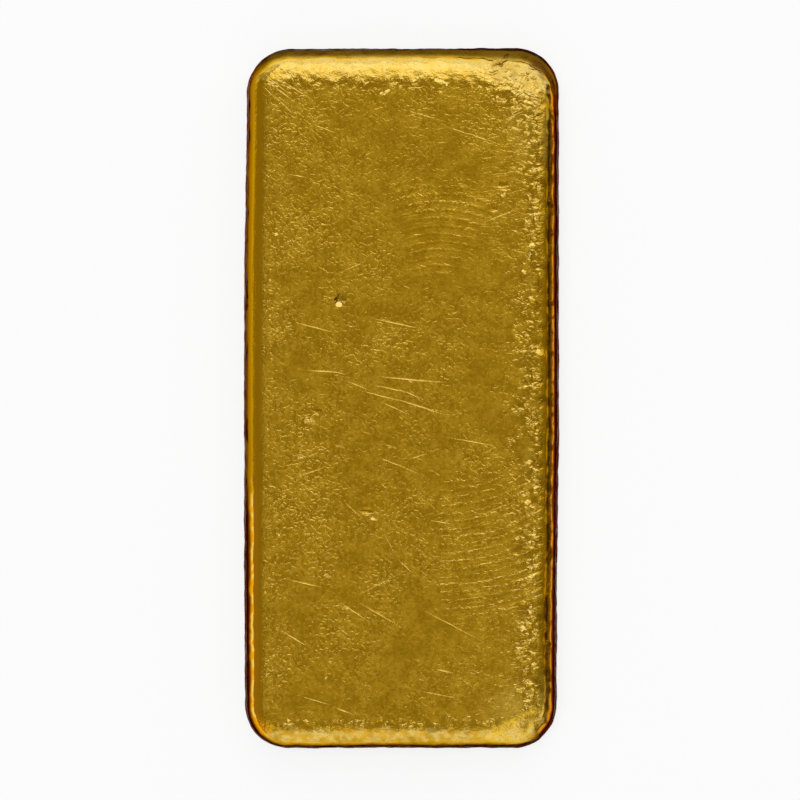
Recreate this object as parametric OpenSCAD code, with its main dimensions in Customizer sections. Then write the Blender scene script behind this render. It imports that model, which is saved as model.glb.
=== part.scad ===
// Cast gold kilobar: one piece of fine gold, poured into an open mould and turned out.
// It lies on its poured side, with the face that froze on the mould's floor upwards.
// One edge section (rounded face edge, drafted wall, rounded pour rim) runs all the way
// round a rectangle with round corners: extruded along the sides, revolved at the corners.

/* [Bar] */
// Length over the widest outline, along Y
bar_length = 117; // [80:0.5:160]
// Width over the widest outline, along X
bar_width = 52.6; // [40:0.1:80]
// Thickness from the poured side to the face
bar_thickness = 8.8; // [8:0.1:14]
// Radius of the plan corners at the widest outline
corner_radius = 7.3; // [6.5:0.1:12]

/* [Mould] */
// Draft of the mould's walls, in degrees from upright
draft_angle = 8; // [3:0.5:15]
// Fillet between the mould's floor and walls, which rounds the edge of the face
face_edge_radius = 4; // [2.5:0.1:4.2]
// Rounding that surface tension leaves round the poured side
pour_rim_radius = 1.6; // [0.8:0.1:2.4]

/* [Hidden] */
$fn = 96;

gold = [0.83, 0.62, 0.16];

// Lengths of the straight stretches between the plan corners
straight_x = bar_width - 2 * corner_radius;
straight_y = bar_length - 2 * corner_radius;

// The section's two arcs, as distances out from a corner's axis and heights above the floor,
// set so that one drafted line touches both
rim_out = corner_radius - pour_rim_radius;
rim_up = pour_rim_radius;
face_up = bar_thickness - face_edge_radius;
wall_lean = face_edge_radius - pour_rim_radius + sin(draft_angle) * (face_up - rim_up);
face_out = rim_out - wall_lean / cos(draft_angle);

// Depth of the wall inside that line, so that it crosses both arcs cleanly
wall_bite = 0.01;

// Room round the section where it is cut off at the corner's axis
cut_margin = 1;

// End of the wall inside an arc
function wall_end(out, up, radius) =
    [out + (radius - wall_bite) * cos(draft_angle), up + (radius - wall_bite) * sin(draft_angle)];

// Half of the bar's cross-section, from a corner's axis out to the wall
module edge_section() {
    intersection() {
        union() {
            polygon([
                [0, 0],
                [rim_out, 0],
                wall_end(rim_out, rim_up, pour_rim_radius),
                wall_end(face_out, face_up, face_edge_radius),
                [face_out, bar_thickness],
                [0, bar_thickness]
            ]);
            translate([rim_out, rim_up]) circle(r = pour_rim_radius);
            translate([face_out, face_up]) circle(r = face_edge_radius);
        }
        translate([0, -cut_margin])
            square([corner_radius + cut_margin, bar_thickness + 2 * cut_margin]);
    }
}

// Whole cross-section: an edge section at each end of a straight stretch
module cross_section(straight) {
    translate([straight / 2, 0]) edge_section();
    translate([-straight / 2, 0]) mirror([1, 0]) edge_section();
    translate([-straight / 2, 0]) square([straight, bar_thickness]);
}

// Cross-section upright, drawn out along Y
module straight_run(straight, run) {
    rotate([90, 0, 0])
        linear_extrude(height = run, center = true)
            cross_section(straight);
}

// The bar as cast
module ingot() {
    color(gold) union() {
        straight_run(straight_x, straight_y);
        rotate(90) straight_run(straight_y, straight_x);
        for (side = [-1, 1], end = [-1, 1])
            translate([side * straight_x / 2, end * straight_y / 2, 0])
                rotate_extrude() edge_section();
    }
}

ingot();
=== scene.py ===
# Looks of a cast gold bar: one mesh over the solid's own section, with the mould's skin, dents,
# pits and scrub marks in its relief, a procedural gold with painted highlights, reflections and shade,
# and soft studio light seen from above.
import math
from types import SimpleNamespace

import bpy
import numpy as np
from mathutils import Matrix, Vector, noise


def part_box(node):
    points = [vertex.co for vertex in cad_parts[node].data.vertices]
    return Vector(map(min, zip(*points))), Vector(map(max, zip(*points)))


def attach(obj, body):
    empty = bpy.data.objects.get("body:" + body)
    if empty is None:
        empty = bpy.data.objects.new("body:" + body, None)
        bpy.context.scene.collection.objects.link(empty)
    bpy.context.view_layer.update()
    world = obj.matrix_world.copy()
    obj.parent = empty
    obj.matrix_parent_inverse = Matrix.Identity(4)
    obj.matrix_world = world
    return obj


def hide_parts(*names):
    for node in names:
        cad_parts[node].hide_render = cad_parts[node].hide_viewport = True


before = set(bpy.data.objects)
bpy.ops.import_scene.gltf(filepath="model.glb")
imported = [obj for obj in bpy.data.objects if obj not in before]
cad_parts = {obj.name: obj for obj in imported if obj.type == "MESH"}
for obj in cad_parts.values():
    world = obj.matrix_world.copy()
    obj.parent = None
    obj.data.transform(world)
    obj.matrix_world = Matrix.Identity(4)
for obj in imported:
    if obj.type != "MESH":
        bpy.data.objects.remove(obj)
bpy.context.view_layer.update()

MM = 0.001

# Size of the bar, in millimetres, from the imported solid
low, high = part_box("ingot")
BAR_WIDTH = (high.x - low.x) / MM
BAR_LENGTH = (high.y - low.y) / MM
BAR_THICKNESS = (high.z - low.z) / MM

# The solid's edge section, in millimetres and degrees
CORNER_RADIUS = 7.3
FACE_EDGE_RADIUS = 4.0
POUR_RIM_RADIUS = 1.6
DRAFT = math.radians(8)

# Mesh density
FACE_CELL = 0.33
FINE_CELL = 0.1
FINE_REACH = 1.4
CORNER_STEPS = 24
FLAT_RINGS = 7
SHOULDER_RINGS = 8
BROW_RINGS = 20
BROW_START = math.radians(56)
WALL_RINGS = 7
RIM_ARC_RINGS = 7

# The photograph's frame: the bar's centre in pixels and the size of a pixel in millimetres
PHOTO_SIDE = 800
PHOTO_CENTRE = (401.3, 398.0)
PIXEL = BAR_LENGTH / 700

# Blowhole, half an ellipse above its centre, with painted shade inside, a painted shadow in one corner
# and a bright lip below with a painted highlight: centres in photograph pixels, half sizes and depth in
# millimetres, and the lip's slope
BLOWHOLE_CENTRE = (341, 302)
BLOWHOLE_HALF = (0.87, 1.30)
BLOWHOLE_DEPTH = 0.14
BLOWHOLE_CORNER = (336.6, 300.6)
BLOWHOLE_CORNER_HALF = (0.34, 0.50)
BLOWHOLE_LIP = (339.6, 304.9)
BLOWHOLE_LIP_HALF = (0.60, 0.46)
BLOWHOLE_LIP_SLOPE = 0.42

# Hollows and lumps: centre in photograph pixels, half sizes in millimetres, turn in degrees from +X,
# height in millimetres (hollows below zero) and how steep the rim is, from 0 soft to 1 sharp
MARKS = (
    ("end_gouge", (496, 63), (1.7, 0.45), 50, -0.30, 0.6),
    ("end_gouge_lip", (506, 60), (1.2, 0.5), 50, 0.16, 0.3),
    ("upper_flake", (440, 85), (1.7, 0.7), 12, 0.14, 0.5),
    ("right_pit", (503, 186), (0.75, 0.7), 0, -0.24, 0.5),
    ("right_pit_lump", (504, 196), (0.9, 0.6), 0, 0.12, 0.4),
    ("right_dot", (494, 210), (0.4, 0.5), 0, -0.22, 0.6),
    ("rim_flake", (523, 273), (0.6, 0.45), -40, 0.13, 0.5),
    ("rim_lump_hollow", (533, 343), (1.2, 1.0), 30, -0.12, 0.3),
    ("rim_lump", (541, 354), (1.3, 0.8), -25, 0.20, 0.4),
    ("rim_notch", (529, 484), (1.2, 0.6), -20, 0.14, 0.4),
    ("rim_notch_hollow", (533, 500), (1.0, 1.2), 20, -0.14, 0.4),
    ("rim_fleck", (527, 532), (0.7, 0.5), 0, 0.10, 0.4),
    ("chip_hollow", (522, 609), (1.2, 1.5), -20, -0.14, 0.3),
    ("chip", (521, 627), (0.95, 0.8), 0, 0.10, 0.3),
    ("left_smear_hollow", (318, 410), (1.1, 0.8), -30, -0.18, 0.5),
    ("left_smear", (311, 421), (1.4, 0.75), 10, 0.14, 0.4),
    ("middle_hollow", (368, 510), (1.1, 0.5), -15, -0.26, 0.6),
    ("upper_left_pit", (326, 208), (0.5, 0.6), 30, -0.12, 0.4),
    ("end_lump", (430, 733), (1.6, 0.9), 0, 0.12, 0.3),
    ("end_dip", (413, 737), (1.0, 0.9), 60, -0.05, 0.4),
    ("lower_fleck", (331, 659), (0.6, 0.4), 0, 0.09, 0.4),
    ("lower_fleck_left", (308, 670), (0.5, 0.4), 0, 0.08, 0.4),
)

# Flakes that lean towards the far end and are painted pale, as glints: centre in photograph pixels,
# half sizes in millimetres, turn in degrees from +X, and slope
FLAKES = (
    ((344.8, 303.6), (0.36, 0.24), 0, 0.40),
    ((383, 96.5), (0.70, 0.40), 0, 0.25),
    ((387, 94.5), (0.75, 0.32), 30, 0.28),
    ((441, 85), (1.70, 0.50), -28, 0.25),
    ((503, 63), (1.60, 0.55), 55, 0.30),
    ((277, 236), (0.40, 0.35), 0, 0.30),
    ((503, 197), (0.70, 0.55), 20, 0.25),
    ((531, 247), (0.70, 0.60), 30, 0.25),
    ((523, 273), (0.65, 0.40), -35, 0.35),
    ((538, 353), (1.20, 0.55), -35, 0.25),
    ((310, 421), (1.30, 0.65), -8, 0.16),
    ((301, 456), (0.80, 0.45), -10, 0.16),
    ((525, 493), (0.90, 0.45), 30, 0.25),
    ((527, 501), (0.70, 0.60), 0, 0.25),
    ((532, 533), (1.00, 0.40), 15, 0.25),
    ((279, 533), (0.55, 0.22), -45, 0.30),
    ((373, 517.5), (0.95, 0.42), -20, 0.32),
    ((328, 574), (0.85, 0.35), -28, 0.18),
    ((346, 606), (0.70, 0.35), 10, 0.18),
    ((521, 626), (1.00, 0.70), 0, 0.42),
    ((331, 660), (0.35, 0.28), 0, 0.30),
    ((327, 675), (0.40, 0.25), 30, 0.25),
)

# Long scratches: start and end in photograph pixels, half width in millimetres and depth from 0 to 1
SCRATCHES = (
    ((372, 376), (448, 383), 0.15, 1.0),
    ((372, 385), (414, 393), 0.13, 0.8),
    ((400, 389), (424, 400), 0.14, 0.8),
    ((391, 397), (446, 415), 0.14, 1.0),
    ((342, 379), (374, 392), 0.11, 0.6),
    ((303, 370), (347, 373), 0.14, 0.8),
    ((326, 370), (349, 375), 0.12, 0.7),
    ((280, 627), (311, 645), 0.13, 0.9),
    ((297, 692), (336, 703), 0.12, 0.6),
    ((332, 703), (356, 712), 0.15, 0.9),
    ((287, 577), (326, 586), 0.14, 0.8),
    ((354, 597), (403, 626), 0.12, 0.7),
    ((352, 597), (409, 567), 0.11, 0.6),
    ((338, 598), (374, 623), 0.12, 0.7),
    ((383, 528), (397, 556), 0.15, 0.9),
    ((396, 556), (415, 573), 0.14, 0.9),
    ((434, 666), (455, 671), 0.16, 1.0),
    ((455, 671), (479, 690), 0.11, 0.5),
    ((415, 604), (486, 641), 0.11, 0.6),
    ((295, 477), (330, 465), 0.13, 0.8),
    ((342, 498), (366, 520), 0.12, 0.6),
    ((371, 453), (426, 476), 0.12, 0.6),
    ((436, 435), (506, 447), 0.12, 0.6),
    ((383, 443), (398, 448), 0.15, 0.7),
    ((408, 459), (429, 452), 0.12, 0.6),
    ((478, 226), (522, 208), 0.12, 0.7),
    ((294, 322), (338, 334), 0.12, 0.8),
    ((369, 318), (424, 330), 0.12, 0.8),
    ((316, 266), (333, 276), 0.11, 0.6),
    ((341, 273), (368, 262), 0.11, 0.6),
    ((396, 110), (452, 126), 0.11, 0.5),
    ((444, 128), (503, 148), 0.11, 0.6),
    ((290, 176), (310, 180), 0.13, 0.8),
    ((430, 519), (455, 523), 0.13, 0.7),
    ((478, 515), (516, 499), 0.11, 0.5),
    ((410, 686), (466, 697), 0.11, 0.5),
    ((265, 75), (291, 98), 0.16, 1.0),
    ((268, 84), (301, 108), 0.16, 1.0),
    ((271, 94), (296, 118), 0.15, 0.9),
    ((281, 82), (314, 103), 0.14, 0.9),
    ((262, 86), (279, 104), 0.15, 0.9),
    ((312, 126), (338, 136), 0.11, 0.7),
    ((360, 390), (401, 401), 0.10, 0.7),
    ((378, 400), (410, 415), 0.10, 0.6),
)

# Rings that a circular scrub left on the face: their centre in photograph pixels
SCRUB_CENTRE = (440, 340)

# Ends with painted highlights, in millimetres: how far in from the far end its roll starts, how much
# further in on the right, and the run over which it gains its slope; then how far in the near end's
# painted highlight starts
END_ROLL_START = 6.0
END_ROLL_RIGHT = 2.0
END_ROLL_RUN = 0.8
END_ROLL_SLOPE = math.tan(math.radians(11))
FOOT_START = 4.0

# Right corners: the reach at a corner of the box, and the millimetres in from the side and in from
# the end that each take 1 off it
NEAR_CORNER = (9.0, 2.2, 1.08)
FAR_CORNER = (12.0, 1.9, 1.1)
FAR_ROLL = (13.5, 1.4, 1.2)

# How the right corners ease off: the reach over which they do, the drop in millimetres or the slope,
# and the height in millimetres above which the drop is full
NEAR_CORNER_RUN = 3.6
NEAR_CORNER_DROP = 1.2
FAR_CORNER_RUN = 5.0
FAR_CORNER_DROP = 0.85
FAR_ROLL_RUN = 2.0
FAR_ROLL_SLOPE = math.tan(math.radians(4))
EASED_ABOVE = 5.0

# Ridges along the outline: inset, half width and height in millimetres, a crease being below zero
RIGHT_CREASE = (1.95, 0.28, -0.14)
RIGHT_LIP = (1.27, 0.25, 0.07)
LEFT_LIP = (1.85, 0.25, 0.10)

# How far the material's shapes sway from straight ones, in millimetres: scratches, rings and flakes,
# then strokes and crinkles, then crumbs
SWAY = 0.25
STROKE_SWAY = 1.2
CRUMB_SWAY = 2.6

# Fine relief in the material: heights in millimetres, hollows below zero, and the slope of the crumbs
GRAIN_HEIGHT = 0.08
WORM_HEIGHT = 0.03
FURROW_HEIGHT = -0.015
CRUMB_HEIGHT = 0.14
CRUMB_SLOPE = 0.22
RING_HEIGHT = 0.09
BRUSH_HEIGHT = 0.07
RUB_HEIGHT = 0.025
STREAK_HEIGHT = 0.05
HAIR_HEIGHT = -0.03
SPARKLE_HEIGHT = 0.10
SCRATCH_HEIGHT = -0.06

# Share of a scratch's half width that is cut
CUT_SHARE = 0.8

# Colours of the gold, as linear red, green and blue: its own tones, and painted highlights, reflections
# and shade
FACE_GOLD = (0.815, 0.455, 0.0185)
DULL_GOLD = (0.665, 0.361, 0.010)
DEEP_GOLD = (0.80, 0.39, 0.006)
BRIGHT_GOLD = (0.97, 0.60, 0.055)
PALE_GOLD = (0.96, 0.70, 0.19)
GLINT_GOLD = (0.98, 0.64, 0.10)
DARK_GOLD = (0.46, 0.235, 0.005)
WALL_GOLD = (0.40, 0.21, 0.008)
END_WALL_GOLD = (0.16, 0.085, 0.005)
NOTCH_BROWN = (0.03, 0.013, 0.001)
HOLLOW_BROWN = (0.42, 0.21, 0.006)
SOOT_BROWN = (0.14, 0.07, 0.006)
CREASE_BROWN = (0.12, 0.045, 0.004)
AMBER = (0.80, 0.33, 0.022)
AMBER_DARK = (0.22, 0.075, 0.003)
LIP_ORANGE = (0.98, 0.42, 0.011)
LIP_BRIGHT = (1.0, 0.72, 0.14)

# Gloss of the gold: roughness, and the tints that face and steep walls turn to when seen edge on
GOLD_ROUGHNESS = 0.23
FACE_TINT = (0.6, 0.4, 0.2)
WALL_TINT = (0.18, 0.10, 0.02)

# Floor: its greys, the white that it sends out itself and how much of its look that is, its half size
# and its gap under the bar, in metres
PAPER_DULL = (0.90, 0.90, 0.90)
PAPER_PALE = (0.92, 0.92, 0.92)
OWN_WHITE = (0.97, 0.97, 0.97)
OWN_SHARE = 0.8
FLOOR_HALF = 4.0
FLOOR_GAP = 0.00002

# Studio: its brightness at the zenith and round it, and the shares kept far to the right and left
ZENITH_LEVEL = 0.37
ROUND_LEVEL = 0.47
RIGHT_SHARE = 0.50
LEFT_SHARE = 0.60


def on_face(pixel):
    """Place on the bar, in millimetres, of a pixel of the photograph."""
    return ((pixel[0] - PHOTO_CENTRE[0]) * PIXEL, (PHOTO_CENTRE[1] - pixel[1]) * PIXEL)


def smooth_step(low_edge, high_edge, value):
    """0 at the first edge and before it, 1 at the second and beyond it, with a smooth change between."""
    t = np.clip((value - low_edge) / (high_edge - low_edge), 0, 1)
    return t * t * (3 - 2 * t)


def fractal(points, wave, octaves, seed):
    """Fractal noise, about -1 to 1, whose largest waves are `wave` millimetres long."""
    shift = Vector((seed * 17.3, seed * 5.1, seed * 9.7))
    return np.array([noise.fractal(Vector(p) / wave + shift, 1.0, 2.0, octaves) for p in points])


# Shape of the bar

def edge_section():
    """Rows of (out, up, out normal, up normal), from the face's rim over the edge to the poured side."""
    rim_out = CORNER_RADIUS - POUR_RIM_RADIUS
    face_up = BAR_THICKNESS - FACE_EDGE_RADIUS
    lean = FACE_EDGE_RADIUS - POUR_RIM_RADIUS + math.sin(DRAFT) * (face_up - POUR_RIM_RADIUS)
    face_out = rim_out - lean / math.cos(DRAFT)

    def arc(centre, radius, angles):
        cos, sin = np.cos(angles), np.sin(angles)
        return np.column_stack([centre[0] + radius * cos, centre[1] + radius * sin, cos, sin])

    flat = np.zeros((FLAT_RINGS, 4))
    flat[:, 0] = np.linspace(0, face_out, FLAT_RINGS + 1)[1:]
    flat[:, 1] = BAR_THICKNESS
    flat[:, 3] = 1
    shoulder = np.linspace(math.pi / 2, BROW_START, SHOULDER_RINGS + 1)
    brow = np.linspace(BROW_START, DRAFT, BROW_RINGS + 1)
    face_arc = arc((face_out, face_up), FACE_EDGE_RADIUS, np.append(shoulder, brow[1:]))
    rim = np.linspace(DRAFT, -math.pi / 2, RIM_ARC_RINGS + 1)
    rim_arc = arc((rim_out, POUR_RIM_RADIUS), POUR_RIM_RADIUS, rim)
    share = np.linspace(0, 1, WALL_RINGS + 1)[1:-1, None]
    wall = face_arc[-1] * (1 - share) + rim_arc[0] * share
    return np.vstack([flat, face_arc[1:], wall, rim_arc])


def perimeter(columns, rows):
    """Anchor vertex of the face grid and outward angle of each point round it, anticlockwise."""
    def index(column, row):
        return row * (columns + 1) + column

    sides = (
        [index(columns, row) for row in range(rows + 1)],
        [index(column, rows) for column in range(columns, -1, -1)],
        [index(0, row) for row in range(rows, -1, -1)],
        [index(column, 0) for column in range(columns + 1)],
    )
    anchors, angles = [], []
    for turn, side in enumerate(sides):
        anchors += side + [side[-1]] * (CORNER_STEPS - 1)
        angles += [turn * 90] * len(side)
        angles += [turn * 90 + 90 * step / CORNER_STEPS for step in range(1, CORNER_STEPS)]
    return np.array(anchors), np.radians(angles)


def grid_lines(half, fine_middle):
    """Places of the face grid's lines across one direction: even, and closer over the blowhole."""
    coarse = np.linspace(-half, half, round(2 * half / FACE_CELL) + 1)
    fine = fine_middle + np.arange(-FINE_REACH, FINE_REACH + FINE_CELL / 2, FINE_CELL)
    clear = abs(coarse - fine_middle) > FINE_REACH + FACE_CELL / 2
    return np.sort(np.append(coarse[clear], fine))


def plain_bar():
    """The bar with no relief: points, normals and faces, and for each point its plan distance from
    the outline, its steepness, and how far its side faces one of the two ends."""
    half_x = BAR_WIDTH / 2 - CORNER_RADIUS
    half_y = BAR_LENGTH / 2 - CORNER_RADIUS
    pit_x, pit_y = on_face(BLOWHOLE_CENTRE)
    lines_x, lines_y = grid_lines(half_x, pit_x), grid_lines(half_y, pit_y)
    columns, rows = len(lines_x) - 1, len(lines_y) - 1
    grid_y, grid_x = np.meshgrid(lines_y, lines_x, indexing="ij")
    grid = np.column_stack([grid_x.ravel(), grid_y.ravel(), np.full(grid_x.size, BAR_THICKNESS)])
    section = edge_section()
    anchors, angles = perimeter(columns, rows)
    count = len(anchors)
    outward = np.column_stack([np.cos(angles), np.sin(angles), np.zeros(count)])
    points, normals = [grid], [np.tile([0.0, 0.0, 1.0], (len(grid), 1))]
    inset = [CORNER_RADIUS + np.minimum(half_x - abs(grid[:, 0]), half_y - abs(grid[:, 1]))]
    steepness = [np.zeros(len(grid))]
    endward = [np.zeros(len(grid))]
    for out, up, out_normal, up_normal in section:
        ring = grid[anchors] * [1, 1, 0] + out * outward + [0, 0, up]
        points.append(ring)
        normals.append(out_normal * outward + [0, 0, up_normal])
        inset.append(np.full(count, CORNER_RADIUS - out))
        steepness.append(np.full(count, 1 - up_normal))
        endward.append(outward[:, 1] ** 2)

    faces = []
    for row in range(rows):
        for column in range(columns):
            corner = row * (columns + 1) + column
            faces.append((corner, corner + 1, corner + columns + 2, corner + columns + 1))
    inner = anchors
    for ring in range(len(section)):
        outer = len(grid) + ring * count + np.arange(count)
        for here in range(count):
            ahead = (here + 1) % count
            if inner[here] == inner[ahead]:
                faces.append((inner[here], outer[here], outer[ahead]))
            else:
                faces.append((inner[here], outer[here], outer[ahead], inner[ahead]))
        inner = outer
    faces.append(tuple(inner[::-1]))
    return SimpleNamespace(
        points=np.vstack(points),
        normals=np.vstack(normals),
        faces=faces,
        inset=np.concatenate(inset),
        steepness=np.concatenate(steepness),
        endward=np.concatenate(endward),
    )


def reach_of(points, pixel, halves, turn):
    """Distance from a pixel of the photograph, 1 at the edge of an ellipse turned by so many degrees."""
    cos, sin = math.cos(math.radians(turn)), math.sin(math.radians(turn))
    across = points[:, :2] - on_face(pixel)
    along = across[:, 0] * cos + across[:, 1] * sin
    aside = across[:, 1] * cos - across[:, 0] * sin
    return np.hypot(along / halves[0], aside / halves[1])


def marks_relief(points):
    """Height of the named hollows and lumps, in millimetres."""
    height = np.zeros(len(points))
    ripple = 1 + 0.25 * fractal(points, wave=0.9, octaves=2, seed=3)
    for _, pixel, halves, turn, rise, sharp in MARKS:
        reach = reach_of(points, pixel, halves, turn) * ripple
        height += rise * smooth_step(1.15 - 0.15 * sharp, 0.55 * sharp, reach)
    return height


def blowhole(points):
    """Height of the blowhole, in millimetres, and from 0 to 1 its painted shade, its painted shadow in
    one corner and its bright lip, which gets a painted highlight."""
    reach = reach_of(points, BLOWHOLE_CENTRE, BLOWHOLE_HALF, 0)
    across, up = (points[:, :2] - on_face(BLOWHOLE_CENTRE)).T / np.array(BLOWHOLE_HALF)[:, None]
    hollow = smooth_step(1.05, 0.9, reach) * smooth_step(-0.06, 0.02, up)
    lip = smooth_step(1.15, 0.95, reach_of(points, BLOWHOLE_LIP, BLOWHOLE_LIP_HALF, 0))
    above_lip = points[:, 1] - on_face(BLOWHOLE_LIP)[1] + BLOWHOLE_LIP_HALF[1]
    height = -BLOWHOLE_LIP_SLOPE * above_lip * lip - BLOWHOLE_DEPTH * hollow * (1 - up) * (1 - lip)
    upper_left_rim = smooth_step(0.5, 0.95, reach) * smooth_step(0.4, -0.4, across)
    # Painted shade inside the blowhole, heavier towards its left rim, and a painted shadow at its left
    soot = hollow * (0.42 + 0.45 * upper_left_rim) * (1 - lip)
    black = smooth_step(1.1, 0.6, reach_of(points, BLOWHOLE_CORNER, BLOWHOLE_CORNER_HALF, 0)) * (1 - lip)
    return height, soot, black, lip


def outline_shift(points, inset):
    """Plan shift of the walls: the mould's sides aren't quite straight, and each corner differs."""
    x, y = points[:, 0], points[:, 1]
    near_side = smooth_step(12, 4, inset)
    upper_left = -0.42 * smooth_step(16, 50, y) * (x < 0)
    lower_left = -0.14 * smooth_step(-28, -45, y) * (x < 0)
    lower_right = (0.08 - 0.38 * smooth_step(0, -45, y)) * (x > 0)
    side_wander = 0.07 * fractal(points * [1, 1, 0.3], wave=9, octaves=3, seed=21)
    sideways = (upper_left + lower_left + lower_right + side_wander) * near_side * np.sign(x)
    droop = np.where(y < 0, -0.05, np.where(x < 0, 0.28, 0.0)) * (x / 26) ** 2
    end_wander = 0.09 * fractal(points * [1, 1, 0.3], wave=11, octaves=4, seed=22)
    endways = (end_wander - droop) * near_side * np.sign(y)
    return np.column_stack([
        sideways * smooth_step(14, 19, abs(x)),
        endways * smooth_step(46, 51, abs(y)),
        np.zeros(len(points)),
    ])


def roll_off(reach, run, slope):
    """Drop of a surface that starts to roll at reach 0 and holds its slope beyond the run."""
    reach = np.clip(reach, 0, None)
    return np.where(reach < run, slope * reach ** 2 / (2 * run), slope * (reach - run / 2))


def ridge(inset, middle, half_width, height):
    """Height of a soft ridge along an inset from the outline; a groove where the height is below 0."""
    return height * np.exp(-((inset - middle) / half_width) ** 2)


def line_at(inset, middle, half_width):
    """1 along a line at an inset from the outline, 0 beyond its half width."""
    return smooth_step(half_width, 0.3 * half_width, abs(inset - middle))


def corner_reach(side_inset, end_inset, corner):
    """How far a point is inside a corner: most at the corner itself, and below 0 outside it."""
    reach, side_step, end_step = corner
    return reach - side_inset / side_step - end_inset / end_step


def find_places(cast):
    """Adds where each point is: its distances from the sides, how far it is on the top, from 0 to 1,
    its reach into the right corners, and its inset along the outline's wandering lines."""
    x, y, z = cast.points.T
    cast.left_inset = BAR_WIDTH / 2 + x
    cast.right_inset = BAR_WIDTH / 2 - x
    cast.foot_inset = BAR_LENGTH / 2 + y
    cast.end_inset = BAR_LENGTH / 2 - y
    cast.on_top = smooth_step(1.0, 0.4, cast.steepness)
    cast.top_only = (z > BAR_THICKNESS / 2) * cast.on_top
    cast.near_corner = corner_reach(cast.right_inset, cast.foot_inset, NEAR_CORNER)
    cast.far_corner = corner_reach(cast.right_inset, cast.end_inset, FAR_CORNER)
    plan = cast.points * [1, 1, 0]
    cast.drift = cast.inset + 0.2 * fractal(plan, wave=5, octaves=4, seed=12)
    cast.drift += 0.16 * fractal(plan, wave=1.6, octaves=3, seed=39) * (x < 0)


def find_rough_zones(cast):
    """Adds where the face keeps rough skin, is crinkled, streaked, grainy or brushed, from 0 to 1, and
    its lumps, from -1 to 1."""
    points = cast.points
    x, y, _ = points.T
    patchy = fractal(points, wave=6, octaves=3, seed=1)
    blotch = fractal(points, wave=11, octaves=3, seed=13)

    # Skin of the mould, left along the right side and at the upper right corner
    cast.right_band = smooth_step(10.0, 4.5, cast.right_inset + 2.0 * patchy)
    cast.corner_band = smooth_step(15, 7, np.hypot(x - 25, y - 55) + 3 * patchy)
    skin = np.clip(np.maximum(cast.right_band, cast.corner_band), 0, 1)
    cast.lumps = fractal(points, wave=1.7, octaves=3, seed=7)
    cast.crumb = cast.lumps * skin * smooth_step(1.8, 3.2, cast.inset)

    # Worm-like crinkles, thick on the left third and in patches elsewhere, few on the upper scrub rings
    left_third = smooth_step(18, 14, cast.left_inset + 2.5 * patchy)
    crinkle = np.clip(0.58 + 0.12 * left_third + 0.4 * blotch + 0.35 * patchy, 0.28, 1)
    crinkle = np.maximum(crinkle, 0.5 * skin)
    scrub_x, scrub_y = on_face(SCRUB_CENTRE)
    scrubbed = smooth_step(6, 9, y - scrub_y) * smooth_step(24, 18, y - scrub_y)
    crinkle *= 1 - 0.6 * scrubbed * smooth_step(9, 5, abs(x - scrub_x))
    cast.streaked = left_third * smooth_step(-0.3, 0.3, blotch)

    # Bright grains in a band along the left side, and among the skin on the right
    left_band = smooth_step(9.5, 5.0, cast.left_inset + 1.6 * patchy)
    left_band *= smooth_step(2.4, 3.4, cast.left_inset)
    cast.sparkle = np.clip(np.maximum(left_band * (0.7 + 0.5 * patchy), 0.25 * cast.right_band), 0, 1)

    # Right half, brushed across
    brush_patch = smooth_step(-0.45, 0.2, fractal(points, wave=14, octaves=2, seed=10))
    cast.brushed = smooth_step(2, 12, x + 4 * patchy) * brush_patch
    cast.crinkle = crinkle * (1 - 0.3 * cast.brushed)


def find_worn_zones(cast):
    """Adds where the ends and the right corners get painted highlights, the painted shade where the far
    end's roll starts, and where the face is crumbly, from 0 to 1, and the reach of the far end's roll, in
    millimetres."""
    points = cast.points
    x, y, _ = points.T
    cast.torn = fractal(points, wave=2.2, octaves=4, seed=11)
    off_rim = smooth_step(0.6, 2.2, cast.inset)

    # Far end, rolled over, with a painted highlight and a line of painted shade where its roll starts
    right_part = smooth_step(12, 22, x)
    cast.end_reach = END_ROLL_START - cast.end_inset + 1.1 * cast.torn + END_ROLL_RIGHT * right_part
    cast.rubbed_end = smooth_step(0.0, 0.8, cast.end_reach) * off_rim
    frays = smooth_step(0.0, 0.4, fractal(points, wave=1.0, octaves=3, seed=36))
    cast.frayed = line_at(cast.end_reach, -0.3, 0.6) * frays
    cast.rolled = 0.6 + 0.4 * smooth_step(-0.25, 0.25, fractal(points, wave=2.4, octaves=4, seed=35))
    cast.rolled *= smooth_step(-24, -19, x)

    # Near end and its right corner, with a pale painted highlight in small patches
    foot_reach = FOOT_START - cast.foot_inset + 1.2 * cast.torn
    mottled = smooth_step(-0.25, 0.30, fractal(points, wave=1.1, octaves=3, seed=41))
    burnish = np.maximum(smooth_step(-0.3, 0.9, foot_reach), smooth_step(0.8, 2.4, cast.near_corner))
    cast.burnish = burnish * (0.10 + 0.65 * mottled) * off_rim

    # Right corners, with painted highlights
    rubbed_upper = smooth_step(12, 6, np.hypot(1.2 * (x - 25), 0.75 * (y - 50)) + 2 * cast.torn)
    rubbed_lower = smooth_step(12, 5, np.hypot(x - 23, y + 55) + 1.5 * cast.torn)
    cast.rubbed = np.maximum(np.maximum(0.9 * rubbed_upper, rubbed_lower), cast.rubbed_end)

    # Crumbs, clustered along the right side, at its far corner and where the bright ends stop
    clustered = smooth_step(-0.45, 0.15, fractal(points, wave=5, octaves=3, seed=37))
    border = smooth_step(1.8, 0.5, np.minimum(abs(cast.end_reach + 0.4), abs(foot_reach)))
    crumbly = np.maximum(np.maximum(cast.right_band * clustered, cast.corner_band), 0.7 * border)
    cast.crumbly = crumbly * smooth_step(2.4, 4.2, cast.inset) * smooth_step(1.0, 0.0, cast.near_corner)


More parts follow.
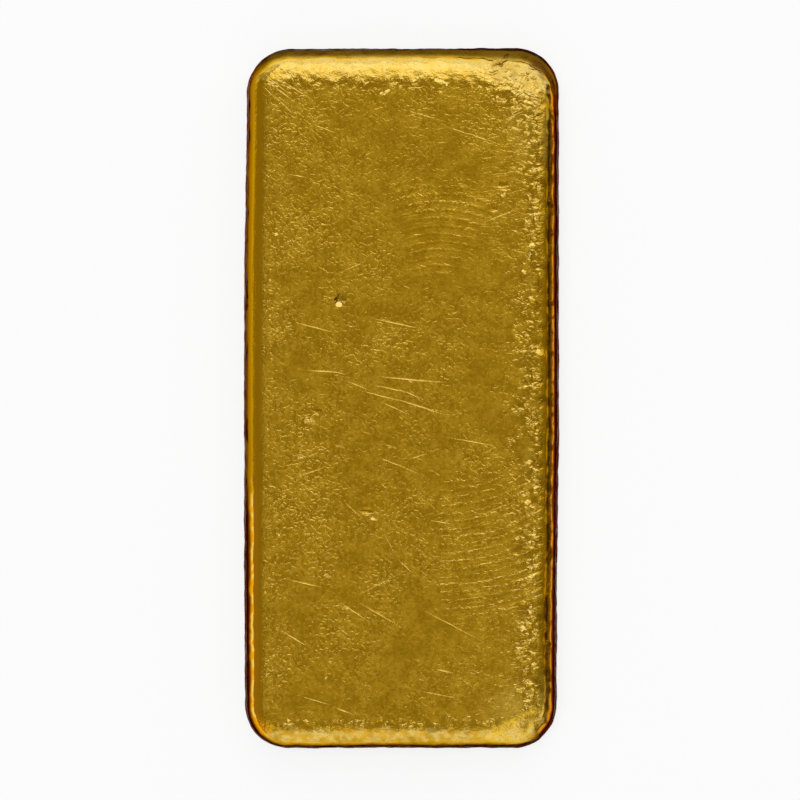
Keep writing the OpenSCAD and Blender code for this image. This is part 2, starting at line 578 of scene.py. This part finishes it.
def find_marks(cast):
    """Adds the marks' and the blowhole's heights, in millimetres, and what they do to the finish: painted
    shade in the dents and the blowhole, and a painted highlight on the blowhole's lip.
    """
    cast.marks = marks_relief(cast.points) * cast.top_only
    cast.dented = np.clip(-cast.marks / 0.16, 0, 1)
    marked = np.clip(abs(cast.marks) / 0.09, 0, 1)
    cast.crumbly *= 1 - marked
    cast.crinkle *= 1 - 0.5 * marked
    pit_height, soot, black, cast.pit_shine = blowhole(cast.points)
    cast.pit_height = pit_height * cast.top_only
    cast.soot = soot * cast.top_only
    cast.black = black * cast.top_only
    # The blowhole's lip joins the pale painted highlight
    cast.burnish = np.maximum(cast.burnish, cast.pit_shine * cast.top_only)


def relief_of(cast):
    """Height of each point over the plain bar, along its normal, in millimetres."""
    points = cast.points
    x, y, z = points.T

    # Face, with rougher skin, lumpy ends and a far end and corner that roll off
    top = 0.05 * fractal(points, wave=18, octaves=3, seed=5)
    top += 0.026 * fractal(points, wave=2.6, octaves=3, seed=6)
    top += (0.09 * cast.right_band + 0.12 * cast.corner_band) * cast.lumps
    top += 0.08 * cast.torn * smooth_step(6.0, 4.0, np.minimum(cast.foot_inset, cast.end_inset))
    foot_lumps = 0.11 * cast.lumps + 0.04 * fractal(points, wave=1.1, octaves=2, seed=40)
    top += foot_lumps * smooth_step(6.5, 4.0, cast.foot_inset)
    top -= roll_off(cast.end_reach, END_ROLL_RUN, END_ROLL_SLOPE)
    far_roll = corner_reach(cast.right_inset, cast.end_inset, FAR_ROLL)
    top -= roll_off(far_roll, FAR_ROLL_RUN, FAR_ROLL_SLOPE)
    height = top * cast.on_top + cast.marks + cast.pit_height

    # Laps that the rising metal left round the walls
    wall = smooth_step(0.55, 0.95, cast.steepness) * (z > 0.8)
    lap_height = z + 0.5 * fractal(points * [1, 1, 0], wave=14, octaves=3, seed=8)
    height += wall * 0.05 * np.sin(lap_height * 2.6)
    height += wall * 0.09 * fractal(points, wave=1.8, octaves=3, seed=9)

    # Crease under the brow of the right side, with a lip below it, and a lip on the lower left side
    right_side = smooth_step(20, 24, x) * smooth_step(56, 50, abs(y))
    lower_left = smooth_step(-20, -24, x) * smooth_step(-12, -20, y)
    height += (ridge(cast.drift, *RIGHT_CREASE) + ridge(cast.drift, *RIGHT_LIP)) * right_side
    height += ridge(cast.drift, *LEFT_LIP) * lower_left
    return height


def eased_corners(cast):
    """Drop of the two right corners, in millimetres: none at the rim, all of it above the wall."""
    drop = NEAR_CORNER_DROP * smooth_step(0.0, NEAR_CORNER_RUN, cast.near_corner)
    drop += FAR_CORNER_DROP * smooth_step(0.0, FAR_CORNER_RUN, cast.far_corner)
    return drop * smooth_step(POUR_RIM_RADIUS, EASED_ABOVE, cast.points[:, 2])


def blend(colour, amount, other):
    """Each point's colour moved towards another one, by an amount from 0 to 1."""
    amount = np.clip(amount, 0, 1)[:, None]
    return colour * (1 - amount) + np.array(other) * amount


def tone_of(cast):
    """Colour of each point: the face by patch, with painted highlights and shade, the walls with painted
    shade, and the painted shade, reflections and highlights along the outline.
    """
    points, steepness, endward, inset = cast.points, cast.steepness, cast.endward, cast.drift
    x, y, _ = points.T
    plan = points * [1, 1, 0]
    upright = smooth_step(0.70, 0.84, steepness)
    side_wall = smooth_step(0.2, 0.45, steepness) * smooth_step(0.8, 0.4, endward)
    end_wall = smooth_step(0.28, 0.65, steepness) * smooth_step(0.2, 0.6, endward)
    # Painted shade: dark patches along the outline
    notch = smooth_step(0.0, 0.3, fractal(points, wave=3.4, octaves=3, seed=32))
    notch *= smooth_step(0.9, 0.5, inset)
    right = smooth_step(21.0, 23.5, x)
    lower_left = smooth_step(-21.0, -23.5, x) * smooth_step(-12, -20, y)
    under_lip = smooth_step(1.7, 0.9, inset) * (1 - 0.7 * upright)
    beads = smooth_step(-0.5, 0.1, fractal(plan, wave=1.1, octaves=2, seed=33))
    specks = 0.55 + 0.45 * smooth_step(-0.3, 0.2, fractal(points, wave=1.6, octaves=3, seed=34))
    drops = smooth_step(-0.2, 0.15, fractal(plan, wave=1.3, octaves=3, seed=38))
    layers = (
        # Face: random dull patches, painted shade on the long sides' shoulders, painted highlights on the
        # ends, the right corners and lump tops, and painted shade in hollows, dents and the blowhole
        (smooth_step(-0.35, 0.35, fractal(points, wave=2.4, octaves=4, seed=31)), DULL_GOLD),
        # Painted shade: deeper gold on the shoulders of the long sides
        (smooth_step(0.02, 0.12, steepness) * (1 - endward), DEEP_GOLD),
        # Painted highlights: the far end's band, the right corners, lump tops and the near end's patches
        (cast.rubbed, BRIGHT_GOLD),
        (0.6 * smooth_step(0.1, 0.5, cast.crumb), BRIGHT_GOLD),
        (cast.burnish, PALE_GOLD),
        # Painted shade in the lumps' hollows, in dents, along the far end's roll and in the blowhole
        (0.8 * smooth_step(-0.12, -0.45, cast.crumb), HOLLOW_BROWN),
        (np.maximum(cast.dented, 0.7 * cast.frayed), HOLLOW_BROWN),
        (cast.soot, SOOT_BROWN),
        (cast.black, NOTCH_BROWN),
        # Walls, darkened as painted shade, with dark patches of painted shade along the outline
        (side_wall, WALL_GOLD),
        (end_wall, END_WALL_GOLD),
        (notch * (1 - 0.5 * endward) * (1 - 0.8 * upright), NOTCH_BROWN),
        # Lines along the outline: painted shade under the lips and in the crease, a dark and bright amber
        # painted reflection on the right lip, and a painted orange reflection with a painted highlight on
        # the lip lower left
        (under_lip * np.maximum(right, lower_left), CREASE_BROWN),
        (line_at(inset, 2.0, 0.60) * right * specks, CREASE_BROWN),
        (line_at(inset, 1.34, 0.50) * right, AMBER_DARK),
        (line_at(inset, 1.38, 0.32) * right * beads, AMBER),
        (line_at(inset, 1.9, 0.9) * lower_left, LIP_ORANGE),
        (line_at(inset, 1.6, 0.26) * lower_left * drops, LIP_BRIGHT),
    )
    tone = np.tile(np.array(FACE_GOLD), (len(points), 1))
    for amount, colour in layers:
        tone = blend(tone, amount, colour)
    return tone


def finish_of(cast):
    """Point attributes that steer the material, by name."""
    face_only = smooth_step(0.07, 0.015, cast.steepness)
    shoulder = smooth_step(0.04, 0.12, cast.steepness) * (1 - cast.endward)
    bright_ends = np.maximum(cast.rubbed_end, np.clip(1.6 * cast.burnish, 0, 1))
    # Where slopes that face the far end get the painted highlight: the face and the far end's band
    lit = np.maximum(face_only * (1 - cast.rubbed_end), cast.rubbed_end * cast.rolled)
    smoothed = (1 - 0.9 * shoulder) * (1 - 0.8 * cast.pit_shine) * (1 - 0.4 * cast.rubbed_end)
    return {
        "face_only": face_only,
        "lined": np.maximum(face_only, bright_ends),
        "lit": lit * (1 - 0.8 * cast.dented),
        "crinkle": cast.crinkle * smoothed,
        "crumbly": cast.crumbly,
        "streaked": cast.streaked,
        "sparkle": cast.sparkle * face_only,
        "brushed": cast.brushed,
        "steepness": cast.steepness,
    }


def bar_mesh():
    """The bar with its relief, and point attributes for its tone and finish."""
    cast = plain_bar()
    find_places(cast)
    find_rough_zones(cast)
    find_worn_zones(cast)
    find_marks(cast)
    moved = cast.points + cast.normals * relief_of(cast)[:, None] + outline_shift(cast.points, cast.inset)
    moved[:, 2] -= eased_corners(cast)
    moved[:, 2] = np.maximum(moved[:, 2], 0)

    mesh = bpy.data.meshes.new("ingot_cast")
    mesh.from_pydata((moved * MM).tolist(), [], cast.faces)
    mesh.shade_smooth()
    tone = tone_of(cast)
    opaque = np.ones(len(tone))
    layer = mesh.attributes.new("tone", "FLOAT_COLOR", "POINT")
    layer.data.foreach_set("color", np.column_stack([tone, opaque]).ravel().astype(np.float32))
    for name, values in finish_of(cast).items():
        layer = mesh.attributes.new(name, "FLOAT", "POINT")
        layer.data.foreach_set("value", values.astype(np.float32))
    mesh.validate()
    return mesh


# Node helpers

class Nodes:
    """Adds nodes to a tree; each method but plug returns a new node's output."""

    def __init__(self, tree):
        self.tree = tree

    def plug(self, socket, value):
        """Links an output to a socket, or sets the socket's own value."""
        if isinstance(value, bpy.types.NodeSocket):
            self.tree.links.new(value, socket)
        else:
            socket.default_value = value

    def add(self, kind, inputs=(), output=0, **settings):
        node = self.tree.nodes.new(kind)
        for name, value in settings.items():
            setattr(node, name, value)
        for key, value in dict(inputs).items():
            self.plug(node.inputs[key], value)
        return node.outputs[output]

    def math(self, operation, *values):
        return self.add("ShaderNodeMath", enumerate(values), operation=operation)

    def raised(self, height, value, scale):
        """A height plus a value times a scale."""
        return self.math("MULTIPLY_ADD", value, scale, height)

    def scaled(self, point, scale, shift=(0.0, 0.0, 0.0)):
        """A point times a scale, plus a shift."""
        inputs = {"Vector": point, "Scale": scale, "Location": shift}
        return self.add("ShaderNodeMapping", inputs, vector_type="POINT")

    def within(self, point, centre, turn, sizes):
        """A point in a frame at a centre, turned by an angle, with unit sizes of its own."""
        inputs = {"Vector": point, "Location": centre, "Rotation": (0.0, 0.0, turn), "Scale": sizes}
        return self.add("ShaderNodeMapping", inputs, vector_type="TEXTURE")

    def gradient(self, point, kind):
        return self.add("ShaderNodeTexGradient", {"Vector": point}, "Fac", gradient_type=kind)

    def attribute(self, name):
        return self.add("ShaderNodeAttribute", output="Fac", attribute_name=name)

    def ramp(self, value, start, end, low=0.0, high=1.0):
        """A smooth rise from low, at the start, to high, at the end."""
        inputs = {"Value": value, "From Min": start, "From Max": end, "To Min": low, "To Max": high}
        return self.add("ShaderNodeMapRange", inputs, interpolation_type="SMOOTHSTEP")

    def mix(self, factor, first, second):
        node = self.tree.nodes.new("ShaderNodeMix")
        node.data_type = "RGBA"
        self.plug(node.inputs["Factor"], factor)
        self.plug(node.inputs[6], first)
        self.plug(node.inputs[7], second)
        return node.outputs[2]

    def noise(self, vector, scale, detail=3.0, roughness=0.55):
        inputs = {"Vector": vector, "Scale": scale, "Detail": detail, "Roughness": roughness}
        return self.add("ShaderNodeTexNoise", inputs, "Fac")


def hairlines(nodes, place, cell, reach, half_width, angle, spread, seed):
    """Random short scratches, one in each cell, most of them faint: 0 off a scratch, up to 1 on it."""
    shifted = nodes.scaled(place, (1.0, 1.0, 1.0), (seed * 13.7, seed * 7.9, 0.0))
    cells = nodes.add(
        "ShaderNodeTexVoronoi", {"Vector": shifted, "Scale": 1 / cell}, voronoi_dimensions="2D"
    ).node
    middle = cells.outputs["Position"]
    chance = nodes.add("ShaderNodeSeparateColor", {"Color": cells.outputs["Color"]}).node
    turn = nodes.math("MULTIPLY_ADD", chance.outputs["Red"], spread, -angle - spread / 2)
    inputs = {"Vector": shifted, "Center": middle, "Angle": turn}
    turned = nodes.add("ShaderNodeVectorRotate", inputs, rotation_type="Z_AXIS")
    fade = nodes.gradient(nodes.within(turned, middle, 0.0, (reach, half_width, 1.0)), "SPHERICAL")
    return nodes.math("MULTIPLY", fade, nodes.math("POWER", chance.outputs["Green"], 2.0))


def scratch(nodes, place, start, end, half_width, depth):
    """One long scratch: a slim ellipse from start to end, deepest in its middle."""
    (x0, y0), (x1, y1) = start, end
    middle = ((x0 + x1) / 2, (y0 + y1) / 2, 0.0)
    half_length = math.hypot(x1 - x0, y1 - y0) / 2
    unit = nodes.within(place, middle, math.atan2(y1 - y0, x1 - x0), (half_length, half_width, 1.0))
    return nodes.math("MULTIPLY", nodes.gradient(unit, "SPHERICAL"), depth)


def strokes(nodes, place, angle, length, width):
    """Brush-like streaks at an angle, about -0.5 to 0.5."""
    along = nodes.within(place, (0.0, 0.0, 0.0), angle, (length, width, 1.0))
    return nodes.math("SUBTRACT", nodes.noise(along, 1.0, 2.0, 0.6), 0.5)


def band(nodes, value, middle, half_width):
    """1 in the middle of a band of values, 0 outside it."""
    off = nodes.math("ABSOLUTE", nodes.math("SUBTRACT", value, middle))
    return nodes.ramp(off, half_width, half_width * 0.3)


def scrub_rings(nodes, place):
    """Fine rings round the scrub's centre, kept to the sectors where the face shows them: all of them,
    and the even ones alone, about -1 to 1."""
    centre = (*on_face(SCRUB_CENTRE), 0.0)
    reach = BAR_LENGTH
    unit = nodes.within(place, centre, math.pi / 2, (reach, reach, 1.0))
    radius = nodes.math("MULTIPLY_ADD", nodes.gradient(unit, "SPHERICAL"), -reach, reach)
    bearing = nodes.math("MULTIPLY_ADD", nodes.gradient(unit, "RADIAL"), -2 * math.pi, math.pi)
    off_axis = nodes.math("ABSOLUTE", bearing)
    slow = nodes.within(place, centre, 0.0, (4.0, 4.0, 1.0))
    rings = nodes.add("ShaderNodeTexNoise", {
        "Vector": slow,
        "W": nodes.math("MULTIPLY", radius, 1.3),
        "Scale": 1.0,
        "Detail": 3.0,
        "Roughness": 0.6,
    }, "Fac", noise_dimensions="4D")
    rings = nodes.math("SUBTRACT", rings, 0.5)
    phase = nodes.math("MULTIPLY_ADD", rings, 3.5, nodes.math("MULTIPLY", radius, 4.8))
    above = nodes.math("MULTIPLY", nodes.ramp(off_axis, 1.1, 0.5), nodes.ramp(radius, 8.0, 13.0))
    from_below = nodes.math("ABSOLUTE", nodes.math("SUBTRACT", bearing, 2.85))
    below = nodes.math("MULTIPLY", nodes.ramp(from_below, 0.5, 0.25), nodes.ramp(radius, 19.0, 26.0))
    scored = nodes.math("MULTIPLY", rings, nodes.math("ADD", above, below))
    even = nodes.math("MULTIPLY", nodes.ramp(off_axis, 0.55, 0.2), band(nodes, radius, 18.0, 13.0))
    even_below = nodes.math("MULTIPLY", below, nodes.ramp(radius, 50.0, 44.0, 0.0, 0.8))
    even = nodes.math("MAXIMUM", even, even_below)
    chatter = nodes.math("MULTIPLY", nodes.math("SINE", phase), even)
    return nodes.math("MULTIPLY_ADD", chatter, 0.32, scored), chatter


def flake(nodes, place, ragged, centre, halves, turn):
    """A flat spot with a ragged edge: 1 on it, 0 off it."""
    unit = nodes.within(place, (*centre, 0.0), math.radians(turn), (*halves, 1.0))
    fade = nodes.gradient(unit, "SPHERICAL")
    return nodes.ramp(nodes.math("MULTIPLY", fade, ragged), 0.08, 0.35)


def crumbs(nodes, place):
    """Lumps of uneven height with gaps between them, 0 in a gap and up to 1 on a lump, and the height
    that each one's lean towards the far end adds, at a slope of 1."""
    cells = nodes.add(
        "ShaderNodeTexVoronoi", {"Vector": place, "Scale": 0.85}, voronoi_dimensions="2D"
    ).node
    chance = nodes.add("ShaderNodeSeparateColor", {"Color": cells.outputs["Color"]}).node
    dome = nodes.ramp(cells.outputs["Distance"], 0.62, 0.18)
    middle_y = nodes.add("ShaderNodeSeparateXYZ", {"Vector": cells.outputs["Position"]}, "Y")
    here_y = nodes.add("ShaderNodeSeparateXYZ", {"Vector": place}, "Y")
    past_middle = nodes.math("SUBTRACT", middle_y, here_y)
    lean = nodes.math("MULTIPLY", past_middle, dome)
    return nodes.math("MULTIPLY", dome, nodes.ramp(chance.outputs["Red"], 0.2, 1.0, 0.1, 1.0)), lean


def all_scratches(nodes, place):
    """Depth of the long scratches, from 0 to 1."""
    depths = 0.0
    for start, end, half_width, depth in SCRATCHES:
        cut = scratch(nodes, place, on_face(start), on_face(end), CUT_SHARE * half_width, depth)
        depths = nodes.math("MAXIMUM", depths, cut)
    return depths


def all_flakes(nodes, place, ragged):
    """The flakes' spots, from 0 to 1, and their height in millimetres."""
    along = nodes.add("ShaderNodeSeparateXYZ", {"Vector": place}, "Y")
    spots, lift = 0.0, 0.0
    for pixel, halves, turn, slope in FLAKES:
        centre = on_face(pixel)
        spot = flake(nodes, place, ragged, centre, halves, turn)
        spots = nodes.math("MAXIMUM", spots, spot)
        leaning = nodes.math("MULTIPLY_ADD", along, -slope, slope * centre[1])
        lift = nodes.math("MULTIPLY_ADD", spot, leaning, lift)
    return spots, lift


def fine_relief(nodes):
    """Relief too fine for the mesh: its height in millimetres, and from 0 to 1 where it gets painted
    shade in troughs and gaps and darker chatter lines, painted shade in its furrows, painted highlights
    on its ridges and lumps, and pale painted glints."""
    coordinates = nodes.add("ShaderNodeTexCoord", output="Object")
    place = nodes.scaled(coordinates, (1 / MM,) * 3)
    flat_place = nodes.scaled(coordinates, (1 / MM, 1 / MM, 0.0), (-SWAY / 2, -SWAY / 2, 0.0))
    sway = nodes.add("ShaderNodeTexNoise", {"Vector": place, "Scale": 0.45, "Detail": 2.0}, "Color")
    drawn = nodes.scaled(sway, (STROKE_SWAY, STROKE_SWAY, 0.0), flat_place)
    traced = nodes.scaled(sway, (SWAY, SWAY, 0.0), flat_place)

    # Grain, worm-like crinkles and the furrows beside them
    crinkle = nodes.attribute("crinkle")
    grain = nodes.noise(place, 1.5, 2.0, 0.55)
    height = nodes.math("MULTIPLY", grain, nodes.math("MULTIPLY", crinkle, GRAIN_HEIGHT))
    fold = nodes.noise(drawn, 0.85, 1.5, 0.5)
    fold = nodes.math("ABSOLUTE", nodes.math("SUBTRACT", fold, 0.5))
    worm = nodes.math("MULTIPLY", nodes.ramp(fold, 0.065, 0.01), nodes.ramp(grain, 0.40, 0.52))
    worm = nodes.math("MULTIPLY", worm, crinkle)
    height = nodes.raised(height, worm, WORM_HEIGHT)
    furrow = nodes.math("MULTIPLY", band(nodes, fold, 0.10, 0.05), nodes.ramp(grain, 0.56, 0.44))
    furrow = nodes.math("MULTIPLY", furrow, nodes.math("MULTIPLY_ADD", crinkle, 0.7, 0.3))
    height = nodes.raised(height, furrow, FURROW_HEIGHT)

    # Crumbs
    crumbly = nodes.attribute("crumbly")
    lump, lean = crumbs(nodes, nodes.scaled(sway, (CRUMB_SWAY, CRUMB_SWAY, 0.0), flat_place))
    lump = nodes.math("MULTIPLY", lump, nodes.ramp(grain, 0.35, 0.6, 0.4, 1.3))
    height = nodes.raised(height, nodes.math("MULTIPLY", lump, crumbly), CRUMB_HEIGHT)
    height = nodes.raised(height, nodes.math("MULTIPLY", lean, crumbly), CRUMB_SLOPE)

    # Scrub rings, and strokes across, aslant and along
    rings, chatter = scrub_rings(nodes, traced)
    height = nodes.raised(height, rings, RING_HEIGHT)
    brush = strokes(nodes, drawn, math.radians(4), length=2.8, width=0.34)
    brush = nodes.math("MULTIPLY", brush, nodes.attribute("brushed"))
    height = nodes.raised(height, brush, BRUSH_HEIGHT)
    rub = strokes(nodes, drawn, math.radians(-24), length=2.2, width=0.4)
    height = nodes.raised(height, rub, RUB_HEIGHT)
    streak = strokes(nodes, traced, math.radians(88), length=7.0, width=0.45)
    streak = nodes.math("MULTIPLY", streak, nodes.attribute("streaked"))
    height = nodes.raised(height, streak, STREAK_HEIGHT)

    # Hairlines, bright grains, long scratches and flakes
    hair = hairlines(
        nodes, traced, cell=2.2, reach=1.1, half_width=0.12, angle=-0.15, spread=1.2, seed=1
    )
    height = nodes.raised(height, hair, HAIR_HEIGHT)
    grains = hairlines(
        nodes, drawn, cell=0.85, reach=0.30, half_width=0.22, angle=0.4, spread=3.0, seed=5
    )
    grains = nodes.math("MULTIPLY", grains, nodes.attribute("sparkle"))
    height = nodes.raised(height, grains, SPARKLE_HEIGHT)
    cuts = all_scratches(nodes, traced)
    height = nodes.raised(height, cuts, SCRATCH_HEIGHT)
    spots, lift = all_flakes(nodes, traced, nodes.ramp(grain, 0.36, 0.60, 0.35, 1.4))
    height = nodes.math("ADD", lift, height)

    # Where the relief gets painted glints, highlights and shade in the colour
    pale = nodes.math("MAXIMUM", nodes.math("MULTIPLY", hair, 0.4), grains)
    pale = nodes.math("MAXIMUM", pale, nodes.math("MULTIPLY", cuts, 0.7))
    pale = nodes.math("MAXIMUM", pale, nodes.math("MULTIPLY", spots, 0.8))
    gap = nodes.math("MULTIPLY", nodes.ramp(lump, 0.25, 0.0), crumbly)
    dark = nodes.ramp(grain, 0.58, 0.36, 0.0, 0.26)
    dark = nodes.math("MAXIMUM", dark, nodes.math("MULTIPLY", gap, 0.8))
    dark = nodes.math("MULTIPLY_ADD", chatter, 0.22, dark)
    bright = nodes.math("MAXIMUM", worm, nodes.math("MULTIPLY", lump, crumbly))
    return height, dark, furrow, bright, pale


def gold_material():
    """Cast gold: the mesh's own tone with its painted highlights and shade, changed by the fine relief's
    painted glints, highlights and shade, and painted paler, as a highlight, on slopes that face the far
    end."""
    material = bpy.data.materials.new("cast_gold")
    material.use_nodes = True
    tree = material.node_tree
    nodes = Nodes(tree)
    shader = tree.nodes["Principled BSDF"]
    height, dark, furrow, bright, pale = fine_relief(nodes)
    bump = nodes.add("ShaderNodeBump", {"Strength": 1.0, "Distance": MM, "Height": height})

    # Colour, with the relief's painted highlights, glints and shade
    face_only = nodes.attribute("face_only")
    tone = nodes.add("ShaderNodeAttribute", output="Color", attribute_name="tone")
    bright = nodes.math("MULTIPLY", nodes.math("MULTIPLY", bright, face_only), 0.55)
    colour = nodes.mix(bright, tone, (*BRIGHT_GOLD, 1.0))
    colour = nodes.mix(nodes.math("MULTIPLY", dark, face_only), colour, (*DARK_GOLD, 1.0))
    colour = nodes.mix(nodes.math("MULTIPLY", pale, face_only), colour, (*GLINT_GOLD, 1.0))
    # Painted highlight: paler gold on slopes that face the far end's lamp
    endwise = nodes.add("ShaderNodeSeparateXYZ", {"Vector": bump}, "Y")
    lit_slope = nodes.ramp(endwise, 0.12, 0.40, 0.0, 0.95)
    lit_slope = nodes.math("MULTIPLY", lit_slope, nodes.attribute("lit"))
    colour = nodes.mix(lit_slope, colour, (*PALE_GOLD, 1.0))
    # Painted shade in the furrows
    furrow = nodes.math("MULTIPLY", nodes.math("MULTIPLY", furrow, nodes.attribute("lined")), 0.55)
    colour = nodes.mix(furrow, colour, (*DARK_GOLD, 1.0))
    nodes.plug(shader.inputs["Base Color"], colour)

    # Gloss, and the dark that a steep wall turns to when seen edge on
    steepness = nodes.attribute("steepness")
    shader.inputs["Roughness"].default_value = GOLD_ROUGHNESS
    shader.inputs["Metallic"].default_value = 1.0
    rim_tint = nodes.mix(nodes.ramp(steepness, 0.4, 0.7), (*FACE_TINT, 1.0), (*WALL_TINT, 1.0))
    nodes.plug(shader.inputs["Specular Tint"], rim_tint)
    tree.links.new(bump, shader.inputs["Normal"])
    return material


# Stage

def floor_material():
    """Pale matt paper with a faint tooth, and white of its own, so that the shadow stays light."""
    material = bpy.data.materials.new("pale_floor")
    material.use_nodes = True
    tree = material.node_tree
    nodes = Nodes(tree)
    paper = tree.nodes["Principled BSDF"]
    coordinates = nodes.add("ShaderNodeTexCoord", output="Object")
    tooth = nodes.noise(coordinates, 900.0, 3.0)
    nodes.plug(paper.inputs["Base Color"], nodes.mix(tooth, (*PAPER_DULL, 1.0), (*PAPER_PALE, 1.0)))
    paper.inputs["Roughness"].default_value = 0.9
    paper.inputs["Specular IOR Level"].default_value = 0.1

    seen = nodes.add("ShaderNodeLightPath").node
    looked_at = nodes.math("MAXIMUM", seen.outputs["Is Camera Ray"], seen.outputs["Is Glossy Ray"])
    looked_at = nodes.math("MAXIMUM", looked_at, seen.outputs["Is Transmission Ray"])
    white = nodes.add("ShaderNodeEmission", {"Color": (*OWN_WHITE, 1.0), "Strength": 1.0})
    both = tree.nodes.new("ShaderNodeMixShader")
    nodes.plug(both.inputs["Fac"], nodes.math("MULTIPLY", looked_at, OWN_SHARE))
    tree.links.new(paper.outputs["BSDF"], both.inputs[1])
    tree.links.new(white, both.inputs[2])
    tree.links.new(both.outputs["Shader"], tree.nodes["Material Output"].inputs["Surface"])
    return material


def add_floor():
    """A wide sheet just under the bar."""
    half = FLOOR_HALF
    mesh = bpy.data.meshes.new("floor")
    corners = [(-half, -half, 0), (half, -half, 0), (half, half, 0), (-half, half, 0)]
    mesh.from_pydata(corners, [], [(0, 1, 2, 3)])
    floor = bpy.data.objects.new("floor", mesh)
    floor.location.z = -FLOOR_GAP
    mesh.materials.append(floor_material())
    bpy.context.scene.collection.objects.link(floor)


def add_panel(name, place, width, height, brightness):
    """A soft rectangular lamp that faces the origin; at brightness 1 its own surface is white."""
    lamp = bpy.data.lights.new(name, "AREA")
    lamp.shape = "RECTANGLE"
    lamp.size = width
    lamp.size_y = height
    lamp.energy = brightness * math.pi * width * height
    panel = bpy.data.objects.new(name, lamp)
    panel.location = place
    panel.rotation_euler = (-Vector(place)).to_track_quat("-Z", "Y").to_euler()
    bpy.context.scene.collection.objects.link(panel)
    return panel


def add_world():
    """Grey studio, a little paler round the zenith than at it, and darker to the left and right."""
    world = bpy.data.worlds.new("studio")
    world.use_nodes = True
    nodes = Nodes(world.node_tree)
    background = world.node_tree.nodes["Background"]
    direction = nodes.add("ShaderNodeTexCoord", output="Generated")
    parts = nodes.add("ShaderNodeSeparateXYZ", {"Vector": direction}).node
    level = nodes.ramp(parts.outputs["Z"], 0.995, 0.955, ZENITH_LEVEL, ROUND_LEVEL)
    level = nodes.math("MULTIPLY", level, nodes.ramp(parts.outputs["X"], 0.26, 0.62, 1.0, RIGHT_SHARE))
    level = nodes.math("MULTIPLY", level, nodes.ramp(parts.outputs["X"], -0.26, -0.62, 1.0, LEFT_SHARE))
    nodes.plug(background.inputs["Color"], level)
    bpy.context.scene.world = world


def add_camera():
    """A long lens straight above the bar, framed as the photograph is."""
    lens_mm, sensor_mm = 200.0, 36.0
    frame_width = PHOTO_SIDE * PIXEL * MM
    outline_height = POUR_RIM_RADIUS * MM
    camera = bpy.data.cameras.new("camera")
    camera.lens = lens_mm
    camera.sensor_width = sensor_mm
    middle_x, middle_y = on_face((PHOTO_SIDE / 2, PHOTO_SIDE / 2))
    eye = bpy.data.objects.new("camera", camera)
    eye.location = (middle_x * MM, middle_y * MM, outline_height + frame_width * lens_mm / sensor_mm)
    bpy.context.scene.collection.objects.link(eye)
    bpy.context.scene.camera = eye


bar = bpy.data.objects.new("ingot_cast", bar_mesh())
bar.data.materials.append(gold_material())
bpy.context.scene.collection.objects.link(bar)
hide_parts("ingot")
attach(bar, "root")

add_floor()
add_world()
add_panel("end_panel", (0.3, 0.95, 0.72), width=2.2, height=1.4, brightness=0.66)
add_panel("foot_panel", (0, -1.1, 0.70), width=2.2, height=1.2, brightness=0.40)
floor_lamp = add_panel("floor_lamp", (-0.2, 0.1, 1.6), width=0.9, height=0.9, brightness=5.6)
floor_lamp.visible_glossy = False
add_camera()

bpy.context.scene.view_settings.view_transform = "Standard"
